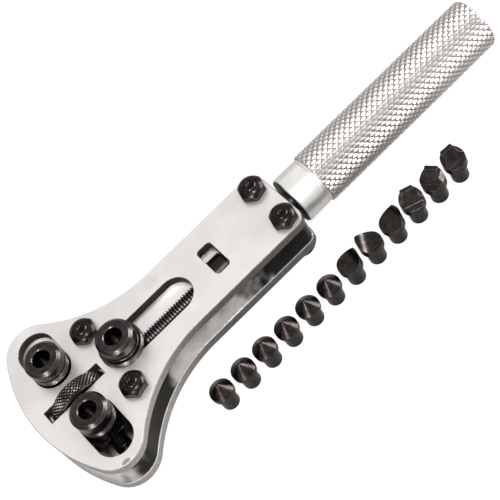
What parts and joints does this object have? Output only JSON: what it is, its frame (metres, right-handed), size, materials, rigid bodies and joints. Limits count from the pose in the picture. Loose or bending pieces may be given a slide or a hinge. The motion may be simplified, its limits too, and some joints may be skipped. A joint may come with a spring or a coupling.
{
  "type": "case back opener",
  "caption": "Watch case back opener: twin-plate body, centre jaw driven by the knurled handle's screw, side jaws driven by a thumbwheel screw, and loose tips beside it.",
  "frame": {"origin": "on the axis of the handle and lead screw, in the middle of the knurled grip, where the tool is held", "axes": "+X along the lead screw towards the handle, +Y along the cross screw away from the row of loose tips, +Z out of the plate the jaws stand on"},
  "size_m": [0.1628, 0.0565, 0.0229],
  "materials": {
    "satin_nickel": "satin nickel plate with fine scratches",
    "bright_nickel": "polished nickel plate",
    "black_oxide": "oiled black oxide",
    "dark_steel": "oiled bare steel, darkened"
  },
  "bodies": {
    "tool_body": {"top_plate": "satin_nickel", "bottom_plate": "satin_nickel", "side_band": "bright_nickel", "left_bearing": "satin_nickel", "right_bearing": "satin_nickel", "body_screws": "black_oxide", "hex_nuts": "black_oxide"},
    "drive": {"lead_screw": "dark_steel", "handle": "satin_nickel"},
    "centre_jaw": {"centre_carrier": "dark_steel", "centre_chuck": "black_oxide", "centre_collar": "black_oxide"},
    "left_jaw": {"left_carrier": "dark_steel", "left_chuck": "black_oxide"},
    "right_jaw": {"right_carrier": "dark_steel", "right_chuck": "black_oxide"},
    "cross_drive": {"cross_screw": "dark_steel", "thumbwheel": "black_oxide"},
    "loose_nib_tip_1": {"nib_tip_1": "black_oxide"},
    "loose_nib_tip_2": {"nib_tip_2": "black_oxide"},
    "loose_nib_tip_3": {"nib_tip_3": "black_oxide"},
    "loose_cone_tip_1": {"cone_tip_1": "black_oxide"},
    "loose_cone_tip_2": {"cone_tip_2": "black_oxide"},
    "loose_cone_tip_3": {"cone_tip_3": "black_oxide"},
    "loose_claw_tip_1": {"claw_tip_1": "black_oxide"},
    "loose_claw_tip_2": {"claw_tip_2": "black_oxide"},
    "loose_claw_tip_3": {"claw_tip_3": "black_oxide"},
    "loose_blade_tip_1": {"blade_tip_1": "black_oxide"},
    "loose_blade_tip_2": {"blade_tip_2": "black_oxide"},
    "loose_blade_tip_3": {"blade_tip_3": "black_oxide"}
  },
  "joints": [
    {"name": "handle_spin", "type": "hinge", "parent": "tool_body", "child": "drive", "pos_m": [0, 0, 0], "axis": [-1, 0, 0], "range_deg": [-435, 7710]},
    {"name": "centre_jaw_slide", "type": "slide", "parent": "tool_body", "child": "centre_jaw", "axis": [1, 0, 0], "range_m": [-0.0011, 0.0193]},
    {"name": "cross_wheel_spin", "type": "hinge", "parent": "tool_body", "child": "cross_drive", "pos_m": [-0.1175, 0, 0], "axis": [0, 1, 0], "range_deg": [-130, 3300]},
    {"name": "left_jaw_slide", "type": "slide", "parent": "tool_body", "child": "left_jaw", "axis": [0, 1, 0], "range_m": [-0.0003, 0.0074]},
    {"name": "right_jaw_slide", "type": "slide", "parent": "tool_body", "child": "right_jaw", "axis": [0, -1, 0], "range_m": [-0.0003, 0.0074]},
    {"name": "lift_nib_tip_1", "type": "slide", "parent": "tool_body", "child": "loose_nib_tip_1", "axis": [0, 0, 1], "range_m": [0, 0.03]},
    {"name": "lift_nib_tip_2", "type": "slide", "parent": "tool_body", "child": "loose_nib_tip_2", "axis": [0, 0, 1], "range_m": [0, 0.03]},
    {"name": "lift_nib_tip_3", "type": "slide", "parent": "tool_body", "child": "loose_nib_tip_3", "axis": [0, 0, 1], "range_m": [0, 0.03]},
    {"name": "lift_cone_tip_1", "type": "slide", "parent": "tool_body", "child": "loose_cone_tip_1", "axis": [0, 0, 1], "range_m": [0, 0.03]},
    {"name": "lift_cone_tip_2", "type": "slide", "parent": "tool_body", "child": "loose_cone_tip_2", "axis": [0, 0, 1], "range_m": [0, 0.03]},
    {"name": "lift_cone_tip_3", "type": "slide", "parent": "tool_body", "child": "loose_cone_tip_3", "axis": [0, 0, 1], "range_m": [0, 0.03]},
    {"name": "lift_claw_tip_1", "type": "slide", "parent": "tool_body", "child": "loose_claw_tip_1", "axis": [0, 0, 1], "range_m": [0, 0.03]},
    {"name": "lift_claw_tip_2", "type": "slide", "parent": "tool_body", "child": "loose_claw_tip_2", "axis": [0, 0, 1], "range_m": [0, 0.03]},
    {"name": "lift_claw_tip_3", "type": "slide", "parent": "tool_body", "child": "loose_claw_tip_3", "axis": [0, 0, 1], "range_m": [0, 0.03]},
    {"name": "lift_blade_tip_1", "type": "slide", "parent": "tool_body", "child": "loose_blade_tip_1", "axis": [0, 0, 1], "range_m": [0, 0.03]},
    {"name": "lift_blade_tip_2", "type": "slide", "parent": "tool_body", "child": "loose_blade_tip_2", "axis": [0, 0, 1], "range_m": [0, 0.03]},
    {"name": "lift_blade_tip_3", "type": "slide", "parent": "tool_body", "child": "loose_blade_tip_3", "axis": [0, 0, 1], "range_m": [0, 0.03]}
  ],
  "couplings": [
    {"joint": "centre_jaw_slide", "follows": "handle_spin", "m_per_rad": 0.00014324},
    {"joint": "left_jaw_slide", "follows": "cross_wheel_spin", "m_per_rad": 0.00012732},
    {"joint": "right_jaw_slide", "follows": "cross_wheel_spin", "m_per_rad": 0.00012732}
  ]
}
